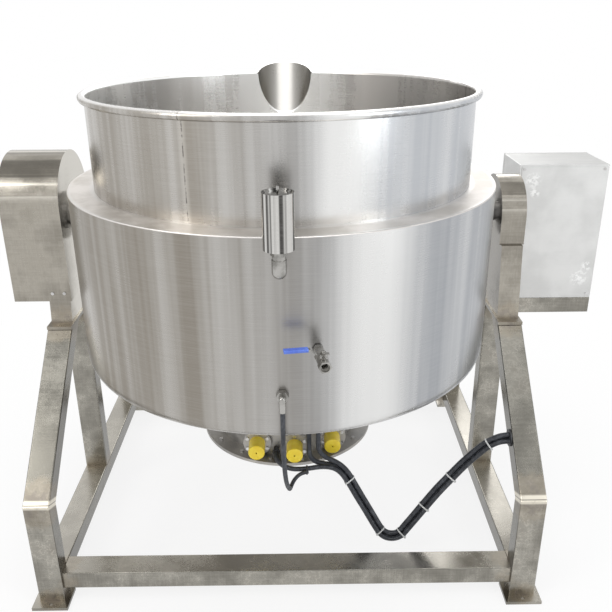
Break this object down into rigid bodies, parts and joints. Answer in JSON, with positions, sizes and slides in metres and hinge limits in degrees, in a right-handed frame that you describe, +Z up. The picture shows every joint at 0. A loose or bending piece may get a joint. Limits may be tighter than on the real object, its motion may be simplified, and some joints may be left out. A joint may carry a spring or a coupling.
{
  "type": "steam jacketed kettle",
  "caption": "Round steel cooking kettle in an oil-filled jacket, tilting between two side frames, with electric heaters underneath, a pouring lip, a drain valve and a control box.",
  "frame": {"origin": "on the floor, at the centre of the four floor bolt holes, midway between the side frames and straight below the trunnions' axis", "axes": "+X from the drive housing towards the control box, along the trunnions' axis; +Y towards the pouring lip and the operator's side; +Z up"},
  "size_m": [1.8733, 1.4179, 1.4459],
  "materials": {
    "pot_steel": "brushed and polished",
    "shell_steel": "brushed and polished in upright bands",
    "shoulder_steel": "satin",
    "sump_steel": "dull rolled",
    "bolt_steel": "bright zinc",
    "element_steel": "ground",
    "bronze": "machined",
    "mineral_wool": "loose fibre",
    "cap_yellow": "moulded",
    "gland_black": "moulded",
    "cable_black": "ribbed",
    "fitting_steel": "turned and polished",
    "sleeve_blue": "dipped",
    "frame_steel": "brushed, with weld heat marks",
    "bright_steel": "polished sheet",
    "cast_grey": "painted casting",
    "motor_paint": "satin paint",
    "box_steel": "matt brushed",
    "display_face": "smooth",
    "button_green": "moulded",
    "button_black": "moulded",
    "button_red": "moulded"
  },
  "bodies": {
    "frame": {"front_legs": "frame_steel", "rear_legs": "frame_steel", "leg_grommet": "gland_black", "bottom_rails": "frame_steel", "centre_posts": "frame_steel", "cross_bars": "frame_steel", "foot_plates": "frame_steel", "top_plates": "frame_steel", "pedestals": "bright_steel", "trunnion_bearings": "cast_grey", "bearing_bolts": "bolt_steel", "bearing_cover": "bright_steel", "drive_housing": "bright_steel", "cover_screws": "bolt_steel", "gearbox": "cast_grey", "drive_motor": "motor_paint", "box_arms": "frame_steel", "control_box": "box_steel", "box_rear_panel": "box_steel", "door_hinges": "bolt_steel", "conduit_front": "cable_black", "conduit_back": "cable_black", "conduit_top": "cable_black"},
    "kettle": {"pot": "pot_steel", "rim_bead": "pot_steel", "pour_spout": "pot_steel", "shoulder_ring": "shoulder_steel", "jacket_shell": "shell_steel", "oil_jacket": "shell_steel", "insulation": "mineral_wool", "sump_wall": "sump_steel", "heater_nozzles": "sump_steel", "heater_flanges": "sump_steel", "heater_bolts": "bolt_steel", "heater_elements": "element_steel", "terminal_caps": "cap_yellow", "conduit_glands": "gland_black", "sump_cover": "sump_steel", "sump_bolts": "bolt_steel", "trunnions": "element_steel", "worm_wheel": "bronze", "filler_cup": "fitting_steel", "filler_cup_lid": "fitting_steel", "filler_neck": "fitting_steel", "sensor_gland": "fitting_steel", "sensor_cable": "cable_black", "valve_nipple": "fitting_steel", "valve_body": "fitting_steel", "cable_tie": "gland_black"},
    "valve_handle": {"valve_stem": "fitting_steel", "valve_lever": "fitting_steel", "lever_sleeve": "sleeve_blue"},
    "worm": {"worm_shaft": "element_steel"},
    "door": {"box_door": "box_steel", "temperature_display": "display_face"},
    "latch": {"door_latch": "fitting_steel"},
    "tilt_up": {"tilt_up_button": "button_green"},
    "tilt_down": {"tilt_down_button": "button_black"},
    "selector": {"heat_selector": "button_black"},
    "stop": {"emergency_stop": "button_red"}
  },
  "joints": [
    {"name": "kettle_tilt", "type": "hinge", "parent": "frame", "child": "kettle", "pos_m": [0, 0, 1.03], "axis": [-1, 0, 0], "range_deg": [0, 65], "deforming": ["conduit_front", "conduit_back", "conduit_top"]},
    {"name": "worm_turn", "type": "hinge", "parent": "frame", "child": "worm", "pos_m": [-0.783, -0.0625, 1.03], "axis": [0, 0, 1], "range_deg": [0, 2600]},
    {"name": "valve_turn", "type": "hinge", "parent": "kettle", "child": "valve_handle", "pos_m": [0.0977, -0.778, 0.896], "axis": [0, 0, 1], "range_deg": [0, 90]},
    {"name": "door_swing", "type": "hinge", "parent": "frame", "child": "door", "pos_m": [1.0323, 0.21575, 0.9425], "axis": [0, 0, -1], "range_deg": [0, 100]},
    {"name": "latch_turn", "type": "hinge", "parent": "door", "child": "latch", "pos_m": [0.771, 0.2305, 0.9425], "axis": [0, 1, 0], "range_deg": [0, 90]},
    {"name": "selector_turn", "type": "hinge", "parent": "door", "child": "selector", "pos_m": [0.956, 0.2305, 0.968], "axis": [0, 1, 0], "range_deg": [-45, 45]},
    {"name": "tilt_up_press", "type": "slide", "parent": "door", "child": "tilt_up", "axis": [0, -1, 0], "range_m": [0, 0.004], "stiffness_N_per_m": 300},
    {"name": "tilt_down_press", "type": "slide", "parent": "door", "child": "tilt_down", "axis": [0, -1, 0], "range_m": [0, 0.004], "stiffness_N_per_m": 300},
    {"name": "stop_press", "type": "slide", "parent": "door", "child": "stop", "axis": [0, -1, 0], "range_m": [0, 0.004], "stiffness_N_per_m": 300}
  ],
  "couplings": [
    {"joint": "worm_turn", "follows": "kettle_tilt", "ratio": 40}
  ]
}
